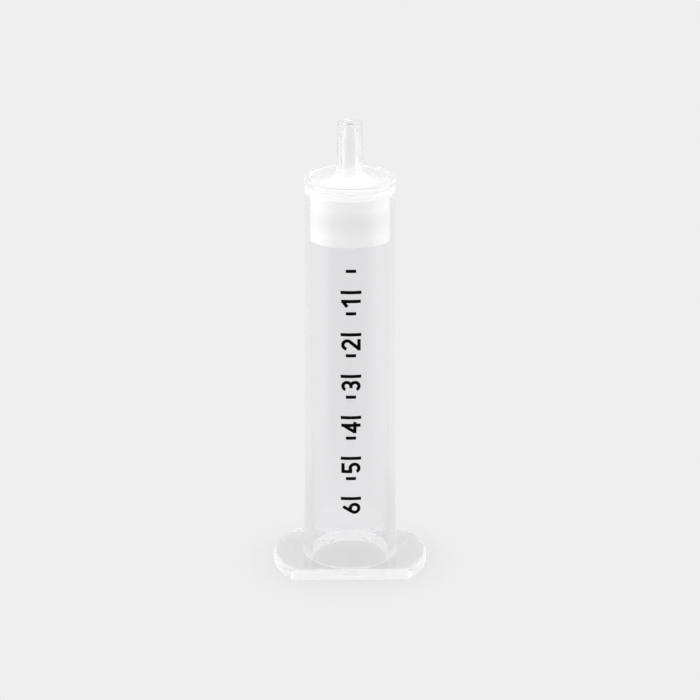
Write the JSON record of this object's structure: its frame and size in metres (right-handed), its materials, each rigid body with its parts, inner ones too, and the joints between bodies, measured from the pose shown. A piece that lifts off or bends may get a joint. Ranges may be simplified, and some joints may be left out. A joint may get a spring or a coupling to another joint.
{
  "type": "solid-phase extraction cartridge",
  "caption": "Clear syringe-barrel solid-phase extraction cartridge with finger flange, male Luer tip, white packed bed between porous discs and a plain printed scale.",
  "frame": {"origin": "centre of the open mouth, on the flange face that the cartridge stands on", "axes": "+Z along the barrel's axis, from the open mouth to the Luer tip; +X along the finger grips; -Y is the side with the gate scar and the printed scale"},
  "size_m": [0.0262, 0.0176, 0.0778],
  "materials": {
    "clear_polypropylene": "moulded, glossy and slightly milky",
    "porous_polyethylene": "sintered, matte and finely porous",
    "bonded_silica": "packed fine powder",
    "black_ink": "screen-printed, satin"
  },
  "bodies": {
    "root": {"barrel": "clear_polypropylene", "outlet_frit": "porous_polyethylene", "sorbent_bed": "bonded_silica", "inlet_frit": "porous_polyethylene", "printed_scale": "black_ink"}
  },
  "joints": []
}
